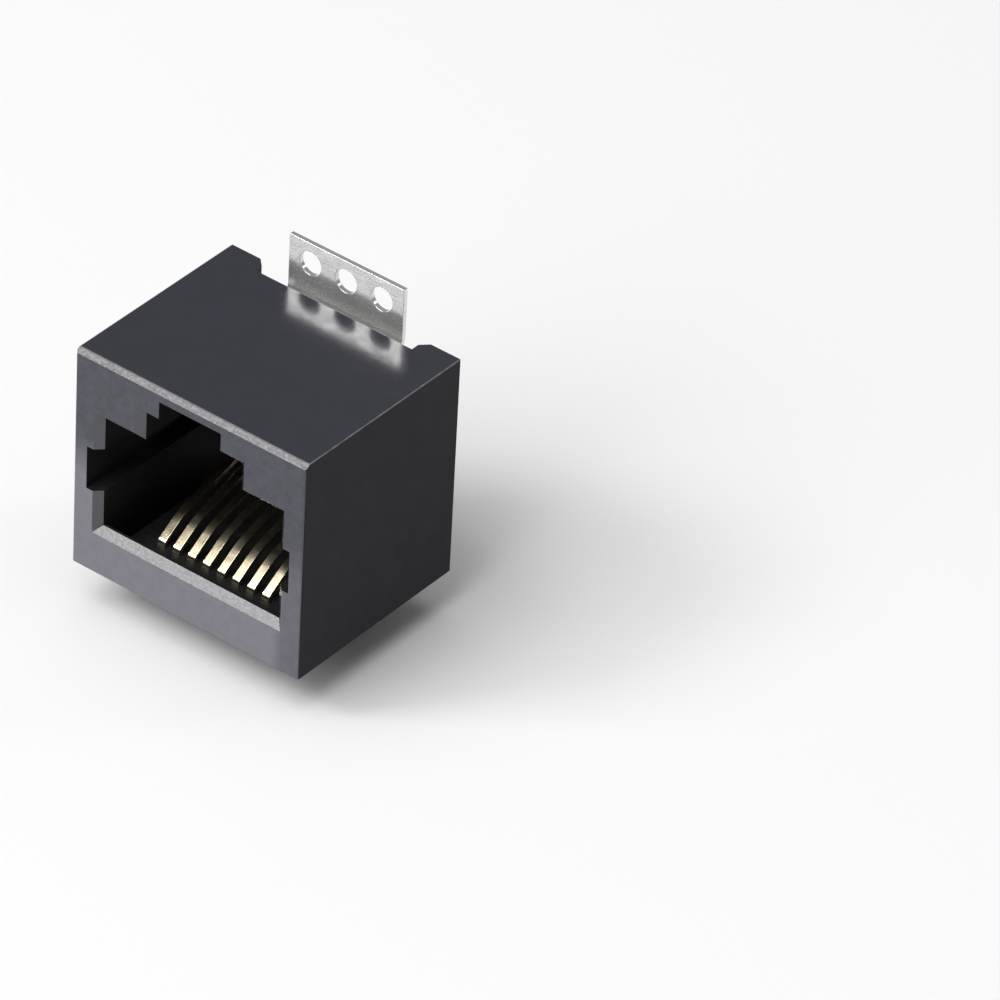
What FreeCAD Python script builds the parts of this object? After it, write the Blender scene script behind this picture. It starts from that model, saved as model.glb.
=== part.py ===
import FreeCAD, Part
import os
import re
import Sketcher

# Vertical eight-way modular board jack: a black moulded housing with a stepped
# plug mouth, a moulded contact insert, eight formed contacts and a bent sheet
# bracket. Millimetres, +Z up, origin at the middle of the board face, mouth
# toward -Y. Depths are counted from the front face and heights from the board.

SIZES = {
    # moulded housing
    "body_wide": "15.5",
    "body_deep": "12.61",
    "body_high": "13.81",
    "top_bevel": "0.27",
    "edge_round": "0.15",
    # stepped plug mouth
    "mouth_wide": "12.0",
    "mouth_floor": "2.93",
    "mouth_high": "6.97",
    "mouth_lead": "0.43",
    "step_wide": "6.5",
    "step_high": "1.7",
    "latch_wide": "4.16",
    "latch_high": "1.5",
    "latch_deep": "7.0",
    "groove_deep": "0.87",
    "groove_low": "5.2",
    "groove_high": "2.7",
    "sill_thick": "0.6",
    "floor_thick": "0.35",
    # comb wall behind the plug
    "comb_thick": "1.2",
    "comb_low": "3.35",
    "comb_bevel_run": "0.9",
    "comb_bevel_rise": "0.4",
    "comb_slot_top": "6.08",
    "comb_gap": "0.04",
    # rear posts and window
    "rear_recess": "0.71",
    "post_wide": "2.45",
    "post_bevel": "0.47",
    "foot_relief": "0.23",
    "foot_high": "1.4",
    "notch_deep": "0.8",
    "notch_high": "1.35",
    "window_wide": "6.4",
    "window_low": "8.95",
    "pocket_wide": "9.3",
    "pocket_low": "11.05",
    "pocket_deep": "3.1",
    "ear_lead_low": "12.0",
    "ear_lead_deep": "0.6",
    "roof_cut": "1.0",
    # contact insert
    "insert_wide": "10.6",
    "insert_front": "8.6",
    "insert_fit": "0.03",
    "nose_gap": "0.7",
    "nose_high": "1.75",
    "nose_slope": "0.7",
    "nose_back": "2.4",
    "ledge_deep": "1.3",
    "ledge_rise": "0.28",
    "band_thick": "1.0",
    # formed contacts
    "contact_pitch": "1.016",
    "contact_wide": "0.5",
    "contact_thick": "0.28",
    "contact_front": "2.25",
    "contact_run": "0.57",
    "contact_bend": "0.12",
    "spring_foot": "1.97",
    "spring_knee_in": "4.0",
    "spring_knee_up": "3.02",
    "spring_tip_in": "11.3",
    "spring_tip_up": "5.27",
    "knee_bend": "4.0",
    "jog_front": "7.5",
    "jog_rear": "9.5",
    # solder tails
    "tail_pitch": "1.27",
    "tail_wide": "0.5",
    "tail_long": "2.7",
    "tail_inset": "0.06",
    "tail_slot_gap": "0.12",
    # sheet bracket
    "sheet_thick": "0.3",
    "sheet_bend": "0.4",
    "sheet_fit": "0.02",
    "plate_low": "12.5",
    "plate_deep": "4.9",
    "ear_wide": "9.5",
    "ear_inset": "0.5",
    "flange_wide": "7.74",
    "flange_top": "16.35",
    "flange_out": "0.29",
    "hole_wide": "1.45",
    "hole_pitch": "2.41",
    "hole_drop": "1.27",
    "relief_wide": "0.6",
    "tongue_wide": "2.2",
    "tongue_in": "3.6",
    "tongue_run": "0.5",
    "slit_wide": "0.42",
    "slit_pitch": "5.8",
    "slit_near": "1.9",
    "slit_far": "3.9",
    # round ejector marks of the mould
    "mark_deep": "0.1",
    "post_mark_wide": "1.4",
    "post_mark_in": "0.9",
    "post_mark_low": "1.05",
    "post_mark_mid": "5.25",
    "post_mark_high": "12.8",
    "wall_mark_wide": "1.44",
    "wall_mark_up": "7.6",
    "insert_mark_wide": "1.4",
    "insert_mark_off": "3.5",
    "insert_mark_in": "10.1",
}
WAYS = 8
HOLES = 3

# Derived places, written once as expressions of the sizes above.
FRONT = "(-body_deep / 2)"
REAR = "(body_deep / 2)"
MOUTH_TOP = "(mouth_floor + mouth_high)"
STEP_TOP = "(mouth_floor + mouth_high + step_high)"
LATCH_TOP = "(mouth_floor + mouth_high + step_high + latch_high)"
WALL_REAR = f"({REAR} - rear_recess)"
CAVITY_END = f"({REAR} - rear_recess - comb_thick)"
NOTCH_TOP = "(foot_high + notch_high)"
POST_IN = "(body_wide / 2 - post_wide)"
FOOT_IN = "(body_wide / 2 - post_wide + foot_relief)"
PLATE_TOP = "(plate_low + sheet_thick)"
BAY_FRONT = f"({FRONT} + insert_front)"
RUN_TOP = "(contact_run + contact_thick)"
RUN_MID = "(contact_run + contact_thick / 2)"
TAIL_REAR = f"({REAR} - tail_inset)"
SPRING_OUT = f"({FRONT} + contact_front)"
FLANGE_REAR = f"({REAR} + flange_out)"

doc = FreeCAD.newDocument("board_jack")
sheet = doc.addObject("Spreadsheet::Sheet", "Sizes")
for row, (alias, value) in enumerate(SIZES.items(), 1):
    sheet.set(f"A{row}", alias)
    sheet.set(f"B{row}", value)
    sheet.setAlias(f"B{row}", alias)
doc.recompute()


def bound(text):
    """The expression with every size name pointed at the sheet."""
    return re.sub(r"[a-z]+_\w+", lambda word: f"Sizes.{word[0]}", text)


def number(text):
    """The present value of an expression."""
    return float(sheet.evalExpression(bound(text)))


def new_body(label):
    body = doc.addObject("PartDesign::Body", label)
    body.Label = label
    return body


def new_sketch(body, name, role, offset):
    """An empty sketch on one of the body's own planes, moved along its normal."""
    sketch = body.newObject("Sketcher::SketchObject", name)
    plane = next(item for item in body.Origin.OriginFeatures if item.Role == role)
    sketch.AttachmentSupport = [(plane, "")]
    sketch.MapMode = "FlatFace"
    sketch.setExpression("AttachmentOffset.Base.z", bound(offset))
    return sketch


def hold_point(sketch, line, end, place):
    """Ties one end of a line to its place from the sketch origin."""
    for kind, text in zip(("DistanceX", "DistanceY"), place):
        rule = sketch.addConstraint(Sketcher.Constraint(kind, -1, 1, line, end, number(text)))
        sketch.setExpression(f"Constraints[{rule}]", bound(text))


def outline(body, name, role, offset, corners, closed=True):
    """A sketch of straight lines through corners given as pairs of expressions."""
    sketch = new_sketch(body, name, role, offset)
    spots = [FreeCAD.Vector(number(across), number(up), 0) for across, up in corners]
    ends = list(zip(spots, spots[1:] + spots[:1]))
    if not closed:
        ends.pop()
    for start, finish in ends:
        sketch.addGeometry(Part.LineSegment(start, finish))
    for line in range(len(ends) - 1):
        sketch.addConstraint(Sketcher.Constraint("Coincident", line, 2, line + 1, 1))
    if closed:
        sketch.addConstraint(Sketcher.Constraint("Coincident", len(ends) - 1, 2, 0, 1))
    else:
        hold_point(sketch, len(ends) - 1, 2, corners[-1])
    for line in range(len(ends)):
        hold_point(sketch, line, 1, corners[line])
    return sketch


def rectangle(body, name, role, offset, low, high):
    """A rectangular outline from its low corner to its high corner."""
    corners = [low, (high[0], low[1]), high, (low[0], high[1])]
    return outline(body, name, role, offset, corners)


def circle(body, name, role, offset, centres, radius):
    """A sketch of equal circles."""
    sketch = new_sketch(body, name, role, offset)
    for index, place in enumerate(centres):
        centre = FreeCAD.Vector(number(place[0]), number(place[1]), 0)
        normal = FreeCAD.Vector(0, 0, 1)
        sketch.addGeometry(Part.Circle(centre, normal, number(radius)))
        rule = sketch.addConstraint(Sketcher.Constraint("Radius", index, number(radius)))
        sketch.setExpression(f"Constraints[{rule}]", bound(radius))
        hold_point(sketch, index, 3, place)
    return sketch


def extrude(body, kind, name, sketch, length, reverse=False, middle=False):
    """A Pad or Pocket of a sketch, bound to its length."""
    made = body.newObject(f"PartDesign::{kind}", name)
    made.Profile = sketch
    made.setExpression("Length", bound(length))
    made.Reversed = reverse
    if middle:
        made.SideType = "Symmetric"
    sketch.Visibility = False
    return made


def repeat(body, name, feature, pitch, count):
    """Copies of a feature in a row along +X."""
    row = body.newObject("PartDesign::LinearPattern", name)
    row.Originals = [feature]
    axis = next(item for item in body.Origin.OriginFeatures if item.Role == "X_Axis")
    row.Direction = (axis, [""])
    row.Mode = "Spacing"
    row.setExpression("Offset", bound(pitch))
    row.Occurrences = count
    body.Tip = row
    return row


def edges(feature, along, test):
    """Names of the edges of a feature that run along an axis and pass a test."""
    found = []
    for index, edge in enumerate(feature.Shape.Edges, 1):
        corners = [corner.Point for corner in edge.Vertexes]
        if len(corners) == 2 and all(test(corner) for corner in corners):
            run = (corners[1] - corners[0]).normalize()
            if abs(abs(getattr(run, along)) - 1) < 1e-4:
                found.append(f"Edge{index}")
    return found


def dress(body, kind, name, base, along, test, size):
    """A Fillet or Chamfer on the edges of the last feature that pass a test."""
    doc.recompute()
    made = body.newObject(f"PartDesign::{kind}", name)
    made.Base = (base, edges(base, along, test))
    made.setExpression({"Fillet": "Radius", "Chamfer": "Size"}[kind], bound(size))
    return made


def near(value, text):
    return abs(value - number(text)) < 1e-4


# Housing: the outer block with its bevelled top front edge and rounded front corners.
housing = new_body("housing")
base = rectangle(housing, "block_outline", "XY_Plane", "0",
                 ("-body_wide / 2", FRONT), ("body_wide / 2", REAR))
block = extrude(housing, "Pad", "block", base, "body_high")
bevel = dress(housing, "Chamfer", "front_top_bevel", block, "x",
              lambda p: near(p.y, FRONT) and near(p.z, "body_high"), "top_bevel")
dress(housing, "Fillet", "front_corner_rounds", bevel, "z",
      lambda p: near(p.y, FRONT), "edge_round")

# Plug cavity: the mouth with a groove down each side wall and the step above it.
right_half = [
    ("mouth_wide / 2", "mouth_floor"),
    ("mouth_wide / 2", "groove_low"),
    ("mouth_wide / 2 + groove_deep", "groove_low"),
    ("mouth_wide / 2 + groove_deep", "groove_low + groove_high"),
    ("mouth_wide / 2", "groove_low + groove_high"),
    ("mouth_wide / 2", MOUTH_TOP),
    ("step_wide / 2", MOUTH_TOP),
    ("step_wide / 2", STEP_TOP),
]
left_half = [(f"-({across})", up) for across, up in reversed(right_half)]
cavity = outline(housing, "cavity_outline", "XZ_Plane", f"-{FRONT}", right_half + left_half)
extrude(housing, "Pocket", "cavity", cavity, f"{CAVITY_END} - {FRONT}")
latch = rectangle(housing, "latch_outline", "XZ_Plane", f"-{FRONT}",
                  ("-latch_wide / 2", MOUTH_TOP), ("latch_wide / 2", LATCH_TOP))
extrude(housing, "Pocket", "latch_slot", latch, "latch_deep")


def lead_outline(name, offset, grow):
    """The mouth outline without its grooves, larger all round by one amount."""
    half = [
        (f"mouth_wide / 2 + {grow}", f"mouth_floor - {grow}"),
        (f"mouth_wide / 2 + {grow}", f"{MOUTH_TOP} + {grow}"),
        (f"step_wide / 2 + {grow}", f"{MOUTH_TOP} + {grow}"),
        (f"step_wide / 2 + {grow}", f"{STEP_TOP} + {grow}"),
    ]
    other = [(f"-({across})", up) for across, up in reversed(half)]
    return outline(housing, name, "XZ_Plane", offset, half + other)


# Lead-in: a 45 degree bevel round the mouth and its step.
lead = housing.newObject("PartDesign::SubtractiveLoft", "mouth_lead_in")
lead.Profile = lead_outline("lead_front", f"-{FRONT}", "mouth_lead")
lead.Sections = [lead_outline("lead_back", f"-({FRONT} + mouth_lead)", "0")]
lead.Ruled = True

# Floor: a well behind the sill for the insert's nose, and the bay open to the board.
well = rectangle(housing, "well_outline", "XY_Plane", "floor_thick",
                 ("-mouth_wide / 2", f"{FRONT} + sill_thick"), ("mouth_wide / 2", BAY_FRONT))
extrude(housing, "Pocket", "well", well, "mouth_floor - floor_thick", reverse=True)
bay_half = [
    ("insert_wide / 2 + insert_fit", BAY_FRONT),
    ("insert_wide / 2 + insert_fit", f"{REAR} - band_thick - insert_fit"),
    (FOOT_IN, f"{REAR} - band_thick - insert_fit"),
    (FOOT_IN, REAR),
]
bay_other = [(f"-{across}" if across == FOOT_IN else f"-({across})", up)
             for across, up in reversed(bay_half)]
bay = outline(housing, "bay_outline", "XY_Plane", "0", bay_half + bay_other)
extrude(housing, "Pocket", "insert_bay", bay, "foot_high", reverse=True)
loft_space = rectangle(housing, "space_outline", "XY_Plane", "foot_high",
                       ("-mouth_wide / 2", BAY_FRONT), ("mouth_wide / 2", CAVITY_END))
extrude(housing, "Pocket", "space_over_insert", loft_space, "mouth_floor - foot_high",
        reverse=True)
notch = rectangle(housing, "notch_outline", "XY_Plane", "foot_high",
                  (f"-({POST_IN} + notch_deep)", CAVITY_END), (f"{POST_IN} + notch_deep", REAR))
extrude(housing, "Pocket", "foot_notch", notch, "notch_high", reverse=True)

# Rear: the recess between the posts and the bevelled board edge of the comb wall.
recess = rectangle(housing, "recess_outline", "XY_Plane", NOTCH_TOP,
                   (f"-{POST_IN}", WALL_REAR), (POST_IN, REAR))
recessed = extrude(housing, "Pocket", "rear_recess_cut", recess, f"body_high - {NOTCH_TOP}",
                   reverse=True)
dress(housing, "Chamfer", "post_bevels", recessed, "z",
      lambda p: near(p.y, REAR) and near(abs(p.x), POST_IN) and p.z > number(NOTCH_TOP) - 1e-4,
      "min(post_bevel; 0.9 * rear_recess)")
underside = outline(housing, "comb_edge_outline", "YZ_Plane", "0", [
    (CAVITY_END, NOTCH_TOP),
    (REAR, NOTCH_TOP),
    (REAR, "comb_low + comb_bevel_rise"),
    (WALL_REAR, "comb_low + comb_bevel_rise"),
    (f"{WALL_REAR} - comb_bevel_run", "comb_low"),
    (CAVITY_END, "comb_low"),
])
extrude(housing, "Pocket", "comb_edge", underside, f"2 * {POST_IN}", middle=True)

# Comb: eight slots, open at the board side, that guide the contact tips.
first = "(-contact_pitch * %d / 2)" % (WAYS - 1)
slot = rectangle(housing, "comb_slot_outline", "XZ_Plane", f"-{REAR}",
                 (f"{first} - contact_wide / 2 - comb_gap", NOTCH_TOP),
                 (f"{first} + contact_wide / 2 + comb_gap", "comb_slot_top"))
slot_cut = extrude(housing, "Pocket", "comb_slot", slot, f"{REAR} - {CAVITY_END}", reverse=True)
repeat(housing, "comb_slots", slot_cut, "contact_pitch", WAYS)

# Rear window into the cavity, the wider pocket over it and the bracket's slot.
window = rectangle(housing, "window_outline", "XZ_Plane", f"-{REAR}",
                   ("-window_wide / 2", "window_low"), ("window_wide / 2", STEP_TOP))
extrude(housing, "Pocket", "rear_window", window, f"{REAR} - {CAVITY_END}", reverse=True)
pocket = rectangle(housing, "pocket_outline", "XZ_Plane", f"-{REAR}",
                   ("-pocket_wide / 2", "pocket_low"), ("pocket_wide / 2", "plate_low"))
extrude(housing, "Pocket", "pocket_under_plate", pocket, "pocket_deep", reverse=True)
ear_lead = rectangle(housing, "ear_lead_outline", "XZ_Plane", f"-{REAR}",
                     ("-ear_wide / 2 - sheet_fit", "ear_lead_low"),
                     ("ear_wide / 2 + sheet_fit", "plate_low"))
extrude(housing, "Pocket", "ear_lead_in", ear_lead, "rear_recess + ear_lead_deep", reverse=True)
plate_slot = rectangle(housing, "plate_slot_outline", "XZ_Plane", f"-{REAR}",
                       ("-ear_wide / 2 - sheet_fit", "plate_low - sheet_fit"),
                       ("ear_wide / 2 + sheet_fit", f"{PLATE_TOP} + sheet_fit"))
extrude(housing, "Pocket", "plate_slot", plate_slot, "plate_deep - flange_out + sheet_fit",
        reverse=True)
roof = rectangle(housing, "roof_outline", "XY_Plane", "body_high",
                 (f"-{POST_IN}", f"{REAR} - roof_cut"), (POST_IN, REAR))
extrude(housing, "Pocket", "roof_cutback", roof, f"body_high - {PLATE_TOP}")

# Ejector marks: shallow round sinks on the two posts and on the comb wall.
post_marks = circle(housing, "post_mark_outline", "XZ_Plane", f"-{REAR}",
                    [(f"{side} * (body_wide / 2 - post_mark_in)", up)
                     for side in ("-1", "1")
                     for up in ("post_mark_low", "post_mark_mid", "post_mark_high")],
                    "post_mark_wide / 2")
extrude(housing, "Pocket", "post_marks", post_marks, "mark_deep", reverse=True)
wall_mark = circle(housing, "wall_mark_outline", "XZ_Plane", f"-{WALL_REAR}",
                   [("0", "wall_mark_up")], "wall_mark_wide / 2")
extrude(housing, "Pocket", "wall_mark", wall_mark, "mark_deep", reverse=True)


def at_knee(point):
    """Whether a point of a contact is on one of the two edges of its spring's knee."""
    return (abs(point.y - number(f"{FRONT} + spring_knee_in")) < number("contact_thick")
            and abs(point.z - number("spring_knee_up")) < number("contact_thick"))


# Contacts: a solder tail, a jog from the tail pitch to the contact pitch and a
# spring that rises from the insert's nose and leans back to the comb.
contacts = []
for way in range(WAYS):
    step = "%s" % (way - (WAYS - 1) / 2)
    at_tail = f"({step} * tail_pitch)"
    at_spring = f"({step} * contact_pitch)"
    contact = new_body(f"contact_{way + 1}")
    tail = outline(contact, f"tail_outline_{way + 1}", "YZ_Plane", at_tail, [
        (f"{FRONT} + jog_rear", "contact_run"),
        (f"{TAIL_REAR} - contact_thick", "contact_run"),
        (f"{TAIL_REAR} - contact_thick", "-tail_long"),
        (TAIL_REAR, "-tail_long"),
        (TAIL_REAR, RUN_TOP),
        (f"{FRONT} + jog_rear", RUN_TOP),
    ])
    bent = extrude(contact, "Pad", f"tail_{way + 1}", tail, "tail_wide", middle=True)
    rounded = dress(contact, "Fillet", f"tail_bend_out_{way + 1}", bent, "x",
                    lambda p: near(p.y, TAIL_REAR) and near(p.z, RUN_TOP),
                    "contact_bend + contact_thick")
    dress(contact, "Fillet", f"tail_bend_in_{way + 1}", rounded, "x",
          lambda p: near(p.y, f"{TAIL_REAR} - contact_thick") and near(p.z, "contact_run"),
          "contact_bend")
    jog = outline(contact, f"jog_outline_{way + 1}", "XY_Plane", "contact_run", [
        (f"{at_spring} - contact_wide / 2", f"{FRONT} + jog_front"),
        (f"{at_spring} + contact_wide / 2", f"{FRONT} + jog_front"),
        (f"{at_tail} + tail_wide / 2", f"{FRONT} + jog_rear"),
        (f"{at_tail} - tail_wide / 2", f"{FRONT} + jog_rear"),
    ])
    extrude(contact, "Pad", f"jog_{way + 1}", jog, "contact_thick")
    section = rectangle(contact, f"spring_section_{way + 1}", "XZ_Plane",
                        f"-({FRONT} + jog_front)",
                        (f"{at_spring} - contact_wide / 2", "contact_run"),
                        (f"{at_spring} + contact_wide / 2", RUN_TOP))
    path = outline(contact, f"spring_path_{way + 1}", "YZ_Plane", at_spring, [
        (f"{FRONT} + jog_front", RUN_MID),
        (f"{SPRING_OUT} + contact_thick / 2", RUN_MID),
        (f"{SPRING_OUT} + contact_thick / 2", "spring_foot"),
        (f"{FRONT} + spring_knee_in", "spring_knee_up"),
        (f"{FRONT} + spring_tip_in", "spring_tip_up"),
    ], closed=False)
    spring = contact.newObject("PartDesign::AdditivePipe", f"spring_{way + 1}")
    spring.Profile = section
    spring.Spine = (path, ["Edge1", "Edge2", "Edge3", "Edge4"])
    spring.Transition = "Right corner"
    outer_bends = dress(contact, "Fillet", f"spring_bends_out_{way + 1}", spring, "x",
                        lambda p: near(p.y, SPRING_OUT), "contact_bend + contact_thick")
    inner_bends = dress(contact, "Fillet", f"spring_bends_in_{way + 1}", outer_bends, "x",
                        lambda p: (near(p.y, f"{SPRING_OUT} + contact_thick")
                                   and p.z > number("contact_run")),
                        "contact_bend")
    knee_top = dress(contact, "Fillet", f"knee_top_{way + 1}", inner_bends, "x",
                     lambda p: at_knee(p) and p.z > number("spring_knee_up"),
                     "knee_bend + contact_thick")
    dress(contact, "Fillet", f"knee_under_{way + 1}", knee_top, "x",
          lambda p: at_knee(p) and p.z < number("spring_knee_up"), "knee_bend")
    contacts.append(contact)

# Insert: the carrier with its nose on the housing floor and its band at the rear.
carrier = new_body("insert_body")
profile = outline(carrier, "carrier_outline", "YZ_Plane", "0", [
    (f"{BAY_FRONT} + insert_fit", "0"),
    (f"{REAR} - ledge_deep", "0"),
    (REAR, "ledge_rise"),
    (REAR, "foot_high"),
    (f"{REAR} - nose_back", "foot_high"),
    (f"{REAR} - nose_back - nose_slope", "nose_high"),
    (f"{FRONT} + sill_thick + nose_gap", "nose_high"),
    (f"{FRONT} + sill_thick + nose_gap", "floor_thick"),
    (f"{BAY_FRONT} + insert_fit", "floor_thick"),
])
extrude(carrier, "Pad", "carrier", profile, "insert_wide", middle=True)
band = rectangle(carrier, "band_outline", "YZ_Plane", "0",
                 (f"{REAR} - band_thick", "ledge_rise"), (REAR, "foot_high"))
extrude(carrier, "Pad", "rear_band", band, f"2 * ({FOOT_IN} - insert_fit)", middle=True)
first_tail = "(-tail_pitch * %d / 2)" % (WAYS - 1)
tail_slot = rectangle(carrier, "tail_slot_outline", "XZ_Plane", f"-{REAR}",
                      (f"{first_tail} - tail_wide / 2 - tail_slot_gap", "0"),
                      (f"{first_tail} + tail_wide / 2 + tail_slot_gap", RUN_TOP))
tail_cut = extrude(carrier, "Pocket", "tail_slot", tail_slot, "ledge_deep", reverse=True)
repeat(carrier, "tail_slots", tail_cut, "tail_pitch", WAYS)
insert_mark = circle(carrier, "insert_mark_outline", "XY_Plane", "0",
                     [("insert_mark_off", f"{FRONT} + insert_mark_in")], "insert_mark_wide / 2")
extrude(carrier, "Pocket", "insert_mark", insert_mark, "mark_deep", reverse=True)

# The insert is moulded round the contacts, so their solids are taken out of it.
metal = doc.addObject("Part::MultiFuse", "contact_set")
metal.Shapes = contacts
insert = doc.addObject("Part::Cut", "contact_insert")
insert.Base = carrier
insert.Tool = metal
insert.Label = "contact_insert"

# Bracket: one sheet bent up behind the roof, with ears in the housing's slot.
bracket = new_body("bracket")
angle = outline(bracket, "angle_outline", "YZ_Plane", "0", [
    (f"{FLANGE_REAR} - plate_deep", "plate_low"),
    (FLANGE_REAR, "plate_low"),
    (FLANGE_REAR, "flange_top"),
    (f"{FLANGE_REAR} - sheet_thick", "flange_top"),
    (f"{FLANGE_REAR} - sheet_thick", PLATE_TOP),
    (f"{FLANGE_REAR} - plate_deep", PLATE_TOP),
])
folded = extrude(bracket, "Pad", "angle", angle, "flange_wide", middle=True)
outer = dress(bracket, "Fillet", "bend_outside", folded, "x",
              lambda p: near(p.y, FLANGE_REAR) and near(p.z, "plate_low"),
              "sheet_bend + sheet_thick")
dress(bracket, "Fillet", "bend_inside", outer, "x",
      lambda p: near(p.y, f"{FLANGE_REAR} - sheet_thick") and near(p.z, PLATE_TOP),
      "sheet_bend")
ear = rectangle(bracket, "ear_outline", "XY_Plane", "plate_low",
                ("-ear_wide / 2", f"{FLANGE_REAR} - plate_deep"),
                ("ear_wide / 2", f"{REAR} - ear_inset"))
extrude(bracket, "Pad", "ears", ear, "sheet_thick")
relief_at = "(flange_wide / 2 + relief_wide / 2)"
relief = circle(bracket, "relief_outline", "XY_Plane", PLATE_TOP,
                [(relief_at, f"{REAR} - ear_inset"), (f"-{relief_at}", f"{REAR} - ear_inset")],
                "relief_wide / 2")
extrude(bracket, "Pocket", "bend_reliefs", relief, "sheet_thick")
tongue = rectangle(bracket, "tongue_outline", "XY_Plane", PLATE_TOP,
                   ("-tongue_wide / 2", f"{REAR} - tongue_in - tongue_run"),
                   ("tongue_wide / 2", f"{REAR} - tongue_in"))
extrude(bracket, "Pocket", "tongue_slot", tongue, "sheet_thick")
tongue_end = circle(bracket, "tongue_end_outline", "XY_Plane", PLATE_TOP,
                    [("0", f"{REAR} - tongue_in")], "tongue_wide / 2")
extrude(bracket, "Pocket", "tongue_end", tongue_end, "sheet_thick")
slit = rectangle(bracket, "slit_outline", "XY_Plane", PLATE_TOP,
                 ("-slit_pitch / 2 - slit_wide / 2", f"{REAR} - slit_far"),
                 ("-slit_pitch / 2 + slit_wide / 2", f"{REAR} - slit_near"))
slit_cut = extrude(bracket, "Pocket", "slit", slit, "sheet_thick")
repeat(bracket, "slits", slit_cut, "slit_pitch", 2)
first_hole = "(-hole_pitch * %d / 2)" % (HOLES - 1)
hole = circle(bracket, "hole_outline", "XZ_Plane", f"-{FLANGE_REAR}",
              [(first_hole, "flange_top - hole_drop")], "hole_wide / 2")
hole_cut = extrude(bracket, "Pocket", "hole", hole, "sheet_thick", reverse=True)
repeat(bracket, "holes", hole_cut, "hole_pitch", HOLES)

doc.recompute()
for item in doc.Objects:
    if "Invalid" in item.State or "Error" in item.State:
        raise RuntimeError(f"{item.Name} failed: {item.State}")

os.makedirs("parts", exist_ok=True)
for piece in [housing, insert, *contacts, bracket]:
    if piece.Shape.isNull() or not piece.Shape.isValid() or len(piece.Shape.Solids) != 1:
        raise RuntimeError(f"{piece.Label} is not one valid solid")
    box = piece.Shape.BoundBox
    print(piece.Label, round(piece.Shape.Volume, 3), len(piece.Shape.Faces),
          [round(v, 3) for v in (box.XMin, box.YMin, box.ZMin, box.XMax, box.YMax, box.ZMax)])
    piece.Shape.exportStep(f"parts/{piece.Label}.step")
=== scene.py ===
import math

import bmesh
import bpy
from mathutils import Matrix, Vector


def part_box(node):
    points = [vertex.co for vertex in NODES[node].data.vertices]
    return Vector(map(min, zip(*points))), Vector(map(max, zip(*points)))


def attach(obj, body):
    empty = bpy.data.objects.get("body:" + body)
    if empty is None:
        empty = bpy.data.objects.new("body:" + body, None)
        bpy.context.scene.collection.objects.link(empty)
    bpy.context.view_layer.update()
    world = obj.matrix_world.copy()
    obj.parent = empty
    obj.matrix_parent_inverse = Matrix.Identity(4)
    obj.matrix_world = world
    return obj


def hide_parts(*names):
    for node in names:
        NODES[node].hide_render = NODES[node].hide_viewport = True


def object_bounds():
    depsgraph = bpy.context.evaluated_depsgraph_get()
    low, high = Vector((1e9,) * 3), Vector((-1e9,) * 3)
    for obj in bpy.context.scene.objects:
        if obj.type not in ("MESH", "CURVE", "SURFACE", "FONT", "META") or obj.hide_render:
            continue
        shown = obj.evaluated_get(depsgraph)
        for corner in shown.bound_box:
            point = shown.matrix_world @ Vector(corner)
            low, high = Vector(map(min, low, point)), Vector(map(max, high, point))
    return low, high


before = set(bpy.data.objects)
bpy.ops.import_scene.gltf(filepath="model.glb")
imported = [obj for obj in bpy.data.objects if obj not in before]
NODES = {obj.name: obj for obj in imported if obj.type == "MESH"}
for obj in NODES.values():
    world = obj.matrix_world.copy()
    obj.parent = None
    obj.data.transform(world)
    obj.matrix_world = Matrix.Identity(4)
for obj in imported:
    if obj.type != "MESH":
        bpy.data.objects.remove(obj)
CAD_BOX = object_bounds()
MM = 0.001
CONTACTS = [f"contact_{way}" for way in range(1, 9)]
HOUSING_LOW, HOUSING_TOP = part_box("housing")
FRONT_MM, REAR_MM, ROOF_MM = HOUSING_LOW.y / MM, HOUSING_TOP.y / MM, HOUSING_TOP.z / MM


# Materials
NOISE_RANGE = (0.3, 0.7)            # where most of a noise's values lie
FLOW_RANGE = (0.35, 0.65)           # narrower, so that flow marks show
# Painted light: grey added to the front below the plug mouth, none above 8.5 mm and full below 6 mm
PAINTED_LIGHT_STARTS_MM, PAINTED_LIGHT_FULL_MM = 8.5, 6.0
JAMB_STARTS_MM, JAMB_FULL_MM = 5.8, 6.6
JAMB_SHARE = 0.45                   # how much of the painted light the right jamb gets
TIN_ENDS_MM, GOLD_STARTS_MM = 0.75, 1.25
TAIL_TIN = (0.90, 0.89, 0.87)
GOLD_PLATE = (0.98, 0.85, 0.60)
SHEET_DARK, SHEET_LIGHT = (0.75, 0.75, 0.735), (0.83, 0.83, 0.815)
ROLLED_ALONG = (0.12, 1, 1)         # draws the sheet's marks out along its width


def new_material(name):
    """A material with its Principled shader and Object coordinates."""
    material = bpy.data.materials.new(name)
    material.use_nodes = True
    tree = material.node_tree
    shader = tree.nodes["Principled BSDF"]
    place = tree.nodes.new("ShaderNodeTexCoord")
    return material, tree, shader, place.outputs["Object"]


def noise(tree, place, size_mm, detail=3.0, roughness=0.5):
    """Noise whose features are about size_mm across."""
    node = tree.nodes.new("ShaderNodeTexNoise")
    node.inputs["Scale"].default_value = 1 / (size_mm * MM)
    node.inputs["Detail"].default_value = detail
    node.inputs["Roughness"].default_value = roughness
    tree.links.new(place, node.inputs["Vector"])
    return node.outputs["Fac"]


def spread(tree, value, given, wanted=(0, 1)):
    """Maps a value from the given range to the wanted one."""
    node = tree.nodes.new("ShaderNodeMapRange")
    for key, number in zip(("From Min", "From Max", "To Min", "To Max"), (*given, *wanted)):
        node.inputs[key].default_value = number
    tree.links.new(value, node.inputs["Value"])
    return node.outputs["Result"]


def tint(tree, value, first, second):
    """A colour that goes from the first to the second as a value goes from 0 to 1."""
    node = tree.nodes.new("ShaderNodeMix")
    node.data_type = "RGBA"
    node.inputs["A"].default_value = (*first, 1)
    node.inputs["B"].default_value = (*second, 1)
    tree.links.new(value, node.inputs["Factor"])
    return node.outputs["Result"]


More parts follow.
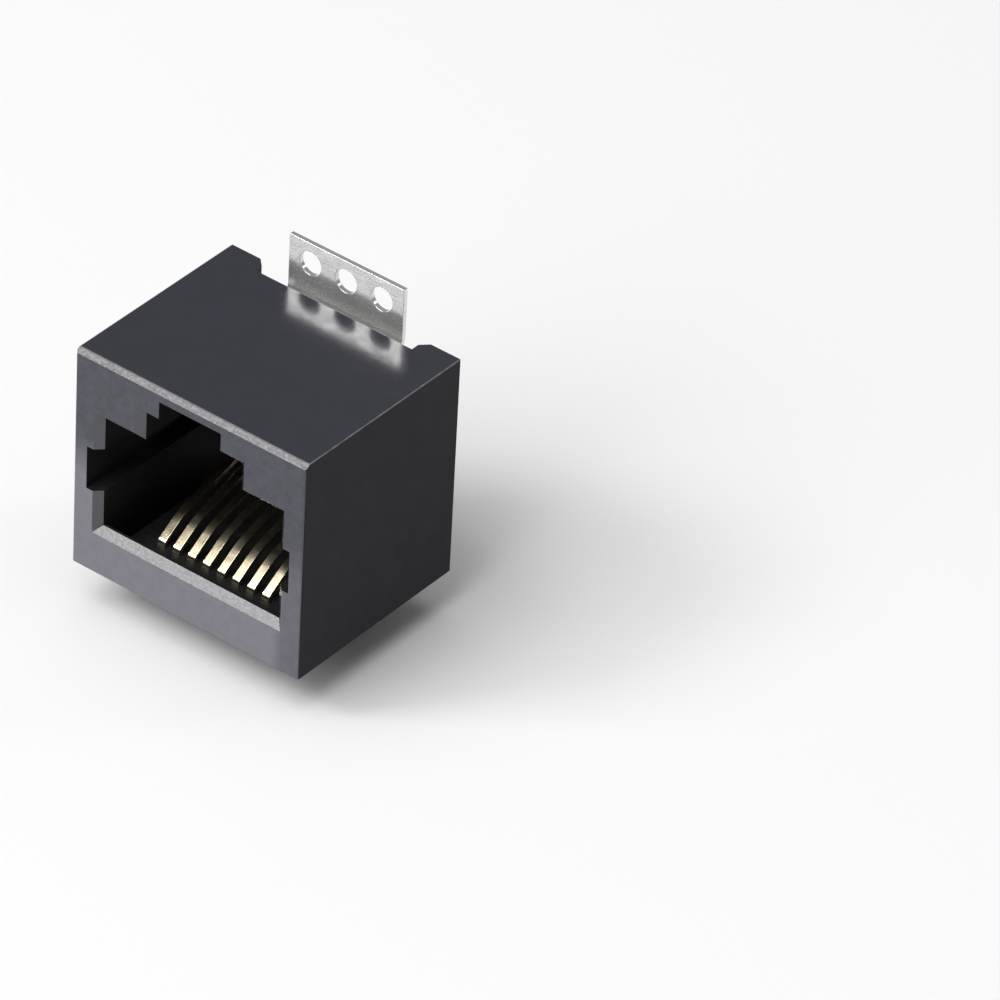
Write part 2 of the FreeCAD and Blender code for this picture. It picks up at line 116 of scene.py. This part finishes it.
def bump(tree, shader, height, depth_mm):
    """Surface relief of about depth_mm, driven by a height from 0 to 1."""
    node = tree.nodes.new("ShaderNodeBump")
    node.inputs["Distance"].default_value = depth_mm * MM
    tree.links.new(height, node.inputs["Height"])
    tree.links.new(node.outputs["Normal"], shader.inputs["Normal"])


def add_painted_front_light(tree, place, colour, grey):
    """Adds grey below the middle of the plug mouth, less of it on the right jamb: painted light
    that makes the lower front lighter.
    """
    split = tree.nodes.new("ShaderNodeSeparateXYZ")
    tree.links.new(place, split.inputs["Vector"])
    low = spread(tree, split.outputs["Z"], given=(PAINTED_LIGHT_STARTS_MM * MM, PAINTED_LIGHT_FULL_MM * MM))
    jamb = spread(tree, split.outputs["X"], given=(JAMB_STARTS_MM * MM, JAMB_FULL_MM * MM),
                  wanted=(1, JAMB_SHARE))
    part = tree.nodes.new("ShaderNodeMath")
    part.operation = "MULTIPLY"
    tree.links.new(low, part.inputs[0])
    tree.links.new(jamb, part.inputs[1])
    blend = tree.nodes.new("ShaderNodeMix")
    blend.data_type = "RGBA"
    blend.blend_type = "ADD"
    blend.inputs["B"].default_value = (*grey, 1)
    tree.links.new(part.outputs[0], blend.inputs["Factor"])
    tree.links.new(colour, blend.inputs["A"])
    return blend.outputs["Result"]


def moulded_black(name, dark, light, rough, grain_mm, depth_mm, gloss=0.5, flow_mm=1.6,
                  painted_light=None):
    """Black glass-filled nylon: cloudy flow marks, and the grain of the mould's face.

    The last argument is a grey of painted light, added to the lower part of the front.
    """
    material, tree, shader, place = new_material(name)
    flow = noise(tree, place, flow_mm, roughness=0.6)
    colour = tint(tree, spread(tree, flow, given=FLOW_RANGE), dark, light)
    # adds the painted light that makes the lower front lighter
    if painted_light:
        colour = add_painted_front_light(tree, place, colour, painted_light)
    tree.links.new(colour, shader.inputs["Base Color"])
    grain = noise(tree, place, grain_mm, detail=2.0, roughness=0.6)
    tree.links.new(spread(tree, grain, given=NOISE_RANGE, wanted=rough), shader.inputs["Roughness"])
    shader.inputs["Specular IOR Level"].default_value = gloss
    bump(tree, shader, grain, depth_mm)
    return material


def plated_contact(name):
    """Gold plate on the spring that turns to bright tin on the solder tail."""
    material, tree, shader, place = new_material(name)
    split = tree.nodes.new("ShaderNodeSeparateXYZ")
    tree.links.new(place, split.inputs["Vector"])
    gold = spread(tree, split.outputs["Z"], given=(TIN_ENDS_MM * MM, GOLD_STARTS_MM * MM))
    tree.links.new(tint(tree, gold, TAIL_TIN, GOLD_PLATE), shader.inputs["Base Color"])
    wear = noise(tree, place, size_mm=0.5)
    tree.links.new(spread(tree, wear, given=NOISE_RANGE, wanted=(0.17, 0.23)),
                   shader.inputs["Roughness"])
    shader.inputs["Metallic"].default_value = 1.0
    return material


def tinned_sheet(name):
    """Bright tin-plated steel sheet with faint rolling marks along its width."""
    material, tree, shader, place = new_material(name)
    stretch = tree.nodes.new("ShaderNodeMapping")
    stretch.inputs["Scale"].default_value = ROLLED_ALONG
    tree.links.new(place, stretch.inputs["Vector"])
    rolled = noise(tree, stretch.outputs["Vector"], size_mm=0.12)
    cloud = noise(tree, place, size_mm=1.4, detail=2.0)
    tree.links.new(tint(tree, spread(tree, cloud, given=NOISE_RANGE), SHEET_DARK, SHEET_LIGHT),
                   shader.inputs["Base Color"])
    tree.links.new(spread(tree, rolled, given=NOISE_RANGE, wanted=(0.21, 0.29)),
                   shader.inputs["Roughness"])
    shader.inputs["Metallic"].default_value = 0.8
    bump(tree, shader, rolled, depth_mm=0.0006)
    return material


POLISHED = moulded_black(
    "polished_black", dark=(0.027, 0.027, 0.037), light=(0.029, 0.029, 0.040),
    rough=(0.15, 0.25), grain_mm=0.60, depth_mm=0.0012, gloss=1.0)
SATIN = moulded_black(
    "satin_black", dark=(0.022, 0.021, 0.026), light=(0.026, 0.025, 0.030),
    rough=(0.42, 0.52), grain_mm=0.09, depth_mm=0.003, gloss=0.06)
# The front's grain and flow marks, with painted light that makes its lower part lighter
TEXTURED_AND_PAINTED_LIGHT = moulded_black(
    "textured_black_painted_light", dark=(0.040, 0.040, 0.054), light=(0.056, 0.056, 0.074),
    rough=(0.48, 0.60), grain_mm=0.13, depth_mm=0.012, flow_mm=0.7, painted_light=(0.108, 0.104, 0.114))
REAR = moulded_black(
    "rear_black", dark=(0.030, 0.030, 0.036), light=(0.042, 0.042, 0.050),
    rough=(0.48, 0.60), grain_mm=0.13, depth_mm=0.012, flow_mm=0.7)
BEVELLED = moulded_black(
    "bevel_black", dark=(0.045, 0.045, 0.050), light=(0.065, 0.065, 0.072),
    rough=(0.18, 0.29), grain_mm=0.12, depth_mm=0.0038, flow_mm=0.5)
TOP_BEVEL = moulded_black(
    "top_bevel_black", dark=(0.042, 0.042, 0.048), light=(0.065, 0.065, 0.072),
    rough=(0.21, 0.40), grain_mm=0.12, depth_mm=0.007, flow_mm=0.5)
# Painted highlight: a lighter grey on the eased roof edges, standing in for light glinting off them
PAINTED_EDGE_HIGHLIGHT = moulded_black(
    "painted_edge_highlight", dark=(0.09, 0.09, 0.10), light=(0.18, 0.18, 0.19),
    rough=(0.40, 0.50), grain_mm=0.10, depth_mm=0.004, flow_mm=0.6)
# Painted shade: a near-black for the insert's nose, which lies in shade under the contacts
NOSE_PAINTED_SHADE = moulded_black(
    "nose_painted_shade", dark=(0.008, 0.008, 0.009), light=(0.016, 0.016, 0.016),
    rough=(0.50, 0.62), grain_mm=0.10, depth_mm=0.008, gloss=0.2, flow_mm=0.4)
# Painted shade: a darker black for the faces inside the plug mouth, where little light reaches
CAVITY_PAINTED_SHADE = moulded_black(
    "cavity_painted_shade", dark=(0.008, 0.008, 0.009), light=(0.012, 0.012, 0.013),
    rough=(0.42, 0.55), grain_mm=0.10, depth_mm=0.004, gloss=0.3)
INSERT = moulded_black(
    "insert_black", dark=(0.030, 0.030, 0.033), light=(0.042, 0.042, 0.045),
    rough=(0.38, 0.52), grain_mm=0.10, depth_mm=0.008)
GOLD = plated_contact("gold_and_tin")
TIN = tinned_sheet("tinned_sheet")


# Pieces
WELD_MM = 0.0005                    # corners this close are one corner
ON_PLANE_MM = 0.01                  # a corner this close to a plane lies on it
FLAT = math.radians(1)              # facets that meet at less are one flat face
SHARP = math.radians(25)            # an edge that turns more than this is eased
EASED_MM = 0.03
HOUSING_EASED_MM = 0.035
ROOF_SIDE_EASED_MM = 0.056
ROOF_LIP_EASED_MM = 0.22
HIGHLIT_EDGE_STEPS = 4

FACING = 0.75                       # least normal of a face that looks along an axis
SLOPING = 0.5                       # least normal, along both axes, of a front bevel
LEAD_IN_MM = 0.5                    # the mouth's lead-in reaches this far behind the front
REAR_SKIN_MM = 1.0                  # the rear finish reaches this far ahead of the rear
SIDES_FROM_MM = 7.7
ROOF_FROM_MM = 13.5
BOARD_FACE_TO_MM = 0.05
TOP_BEVEL_BELOW_ROOF_MM = 0.3
LIP_NEAR_MM, LIP_FAR_MM = 0.3, 2.5  # the roof's rear lip lies between these, ahead of the rear
NOSE_FROM_MM = 0.4                  # the insert's nose is above this and ahead of the rear
NOSE_AHEAD_OF_REAR_MM = 2.0


def ease(shell, mark, edges, radius_mm, finish=-1, steps=2):
    """Rounds edges and marks the new faces.

    finish is the number of their material, or -1 for that of the faces beside them.
    """
    made = bmesh.ops.bevel(shell, geom=edges, offset=radius_mm * MM, offset_type="OFFSET",
                           affect="EDGES", segments=steps, profile=0.5, material=finish,
                           clamp_overlap=True)
    for face in made["faces"]:
        face[mark] = 1


def blended(faces):
    """The mean normal of some faces, the larger ones counting for more."""
    return sum((face.normal * face.calc_area() for face in faces), Vector()).normalized()


def corner_normal(corner, mark):
    """Shading normal at a face's corner: an eased face takes those of the faces it joins."""
    face, around = corner.face, corner.vert.link_faces
    kept = [near for near in around if not near[mark]]
    if not kept:
        return blended(around)
    if face[mark]:
        face = min(kept, key=lambda near: corner.face.normal.angle(near.normal, 0))
    return blended([near for near in kept if face.normal.angle(near.normal, 0) < SHARP])


def softened_copy(node, name, radius_mm, materials, choose=None, highlit_edges=()):
    """A node's own solid with its sharp edges eased, dressed in the materials.

    choose picks the material of a face. Each entry of the last argument is a test that
    picks edges, their radius, and the lighter material of their painted highlight.
    """
    shell = bmesh.new()
    shell.from_mesh(NODES[node].data)
    bmesh.ops.remove_doubles(shell, verts=shell.verts, dist=WELD_MM * MM)
    bmesh.ops.dissolve_limit(shell, angle_limit=FLAT, verts=shell.verts,
                             edges=shell.edges, delimit={"NORMAL"})
    mark = shell.faces.layers.int.new("eased")
    if choose:
        for face in shell.faces:
            face.material_index = materials.index(choose(face))
    # These edges are rounded and given the painted highlight's lighter material
    for test, highlit_edge_mm, painted_light in highlit_edges:
        ease(shell, mark, [edge for edge in shell.edges if test(edge)], highlit_edge_mm,
             materials.index(painted_light), HIGHLIT_EDGE_STEPS)
    ease(shell, mark, [edge for edge in shell.edges if edge.is_manifold
                       and edge.calc_face_angle() > SHARP], radius_mm)
    bmesh.ops.triangulate(shell, faces=[face for face in shell.faces if len(face.verts) > 4])
    shell.normal_update()
    normals = [corner_normal(corner, mark) for face in shell.faces for corner in face.loops]
    shell.faces.layers.int.remove(mark)
    mesh = bpy.data.meshes.new(name)
    shell.to_mesh(mesh)
    shell.free()
    mesh.shade_smooth()
    mesh.normals_split_custom_set(normals)
    for material in materials:
        mesh.materials.append(material)
    piece = bpy.data.objects.new(name, mesh)
    bpy.context.scene.collection.objects.link(piece)
    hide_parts(node)
    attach(piece, "root")
    return piece


def housing_finish(face):
    """The material of one of the housing's faces, by its place and the way it looks."""
    middle = face.calc_center_median() / MM
    behind_lead_in = middle.y > FRONT_MM + LEAD_IN_MM
    ahead_of_rear = middle.y < REAR_MM - REAR_SKIN_MM
    outside = (abs(middle.x) > SIDES_FROM_MM or middle.z > ROOF_FROM_MM
               or middle.z < BOARD_FACE_TO_MM)
    # Faces inside the mouth take the black darkened with painted shade
    if behind_lead_in and ahead_of_rear and not outside:
        return CAVITY_PAINTED_SHADE
    if abs(face.normal.y) > FACING:
        return TEXTURED_AND_PAINTED_LIGHT if face.normal.y < 0 else REAR
    if face.normal.y < -SLOPING and face.normal.z > SLOPING:
        return TOP_BEVEL if middle.z > ROOF_MM - TOP_BEVEL_BELOW_ROOF_MM else BEVELLED
    return SATIN if abs(face.normal.x) > FACING or face.normal.z < -FACING else POLISHED


def on_side(corner):
    """Whether a corner of the housing lies on one of its sides."""
    return abs(abs(corner.co.x) - HOUSING_TOP.x) < ON_PLANE_MM * MM


def roof_side(edge):
    """Whether an edge is one where the roof meets a side."""
    return all(on_side(corner) and abs(corner.co.z - HOUSING_TOP.z) < ON_PLANE_MM * MM
               for corner in edge.verts)


def roof_lip(edge):
    """Whether an edge is the roof's rear lip, ahead of the bracket."""
    first, last = (corner.co / MM for corner in edge.verts)
    return (abs(first.y - last.y) < ON_PLANE_MM
            and REAR_MM - LIP_FAR_MM < first.y < REAR_MM - LIP_NEAR_MM
            and min(first.z, last.z) > ROOF_MM - ON_PLANE_MM)


def insert_finish(face):
    """The nose under the contacts, in a black darkened with painted shade, or the rest of the
    carrier.
    """
    middle = face.calc_center_median() / MM
    on_nose = middle.z > NOSE_FROM_MM and middle.y < REAR_MM - NOSE_AHEAD_OF_REAR_MM
    return NOSE_PAINTED_SHADE if on_nose else INSERT


# The roof's rear lip and its edges along the sides get the painted highlight
housing = softened_copy(
    "housing", "housing_body", HOUSING_EASED_MM,
    [POLISHED, TEXTURED_AND_PAINTED_LIGHT, CAVITY_PAINTED_SHADE, SATIN, BEVELLED, PAINTED_EDGE_HIGHLIGHT, REAR, TOP_BEVEL], housing_finish,
    [(roof_lip, ROOF_LIP_EASED_MM, PAINTED_EDGE_HIGHLIGHT), (roof_side, ROOF_SIDE_EASED_MM, PAINTED_EDGE_HIGHLIGHT)])
insert = softened_copy("contact_insert", "insert_body", EASED_MM, [INSERT, NOSE_PAINTED_SHADE], insert_finish)
bracket = softened_copy("bracket", "sheet_bracket", EASED_MM, [TIN])
for contact in CONTACTS:
    softened_copy(contact, contact + "_leaf", EASED_MM, [GOLD])


# Studio
CAMERA_MM = (229.6, -288.505, 279.9)
CAMERA_RIGHT = (0.7819, 0.6218, 0.0445)
CAMERA_FORWARD = (-0.4778, 0.6438, -0.5977)
LENS_MM, SENSOR_MM = 314.93, 36.0
CLIP_NEAR_M, CLIP_FAR_M = 0.01, 20.0
TABLE_GAP_MM = 0.01                 # keeps the tabletop clear of the tails' tips
TABLE_HALF_M = 4.0
TABLE_WHITE = (0.84, 0.84, 0.84, 1)
LAMPS_AIM_MM = 7                    # about half of the jack's height
ROOM_WHITE = (0.98, 0.985, 1.0, 1)
ROOM_STRENGTH = 0.16


def place_camera():
    """The photograph's own viewpoint on the upright jack."""
    lens = bpy.data.cameras.new("camera")
    lens.sensor_width = SENSOR_MM
    lens.lens = LENS_MM
    lens.clip_start = CLIP_NEAR_M
    lens.clip_end = CLIP_FAR_M
    camera = bpy.data.objects.new("camera", lens)
    bpy.context.scene.collection.objects.link(camera)
    forward = Vector(CAMERA_FORWARD).normalized()
    up = Vector(CAMERA_RIGHT).normalized().cross(forward).normalized()
    right = forward.cross(up)
    turn = Matrix((right, up, -forward)).transposed()
    camera.matrix_world = Matrix.Translation(Vector(CAMERA_MM) * MM) @ turn.to_4x4()
    bpy.context.scene.camera = camera


def white_table():
    """Matt white tabletop."""
    material = bpy.data.materials.new("white_table")
    material.use_nodes = True
    tree = material.node_tree
    tree.nodes.clear()
    out = tree.nodes.new("ShaderNodeOutputMaterial")
    matt = tree.nodes.new("ShaderNodeBsdfDiffuse")
    matt.inputs["Color"].default_value = TABLE_WHITE
    tree.links.new(matt.outputs[0], out.inputs["Surface"])
    return material


def lay_table():
    """A tabletop just under the tips of the solder tails."""
    height = CAD_BOX[0].z - TABLE_GAP_MM * MM
    table = bmesh.new()
    bmesh.ops.create_grid(table, x_segments=1, y_segments=1, size=TABLE_HALF_M)
    bmesh.ops.translate(table, verts=table.verts, vec=(0, 0, height))
    mesh = bpy.data.meshes.new("table_top")
    table.to_mesh(mesh)
    table.free()
    mesh.materials.append(white_table())
    floor = bpy.data.objects.new("table_top", mesh)
    bpy.context.scene.collection.objects.link(floor)


def softbox(name, toward, away_mm, wide_mm, high_mm, radiance):
    """A rectangular lamp in a direction from the jack, set by how bright its face looks."""
    data = bpy.data.lights.new(name, "AREA")
    data.shape = "RECTANGLE"
    data.size = wide_mm * MM
    data.size_y = high_mm * MM
    data.energy = radiance * math.pi * data.size * data.size_y
    lamp = bpy.data.objects.new(name, data)
    bpy.context.scene.collection.objects.link(lamp)
    aim = Vector((0, 0, LAMPS_AIM_MM * MM))
    lamp.location = aim + Vector(toward).normalized() * away_mm * MM
    lamp.rotation_mode = "QUATERNION"
    lamp.rotation_quaternion = (aim - lamp.location).to_track_quat("-Z", "Y")
    lamp.visible_camera = False


def light_room():
    """A dim white room and four softboxes."""
    world = bpy.data.worlds.new("room")
    world.use_nodes = True
    walls = world.node_tree.nodes["Background"]
    walls.inputs["Color"].default_value = ROOM_WHITE
    walls.inputs["Strength"].default_value = ROOM_STRENGTH
    bpy.context.scene.world = world
    softbox("key_softbox", toward=(-0.50, -0.55, 0.67),
            away_mm=1200, wide_mm=300, high_mm=340, radiance=14.0)
    softbox("front_softbox", toward=(-0.10, -0.66, 0.745),
            away_mm=1200, wide_mm=900, high_mm=1250, radiance=3.4)
    softbox("overhead_softbox", toward=(-0.05, -0.10, 1.0),
            away_mm=1000, wide_mm=1000, high_mm=1000, radiance=1.2)
    softbox("rim_softbox", toward=(0.598, 0.644, 0.478),
            away_mm=1200, wide_mm=200, high_mm=200, radiance=5.0)


place_camera()
lay_table()
light_room()
bpy.context.scene.view_settings.view_transform = "Standard"
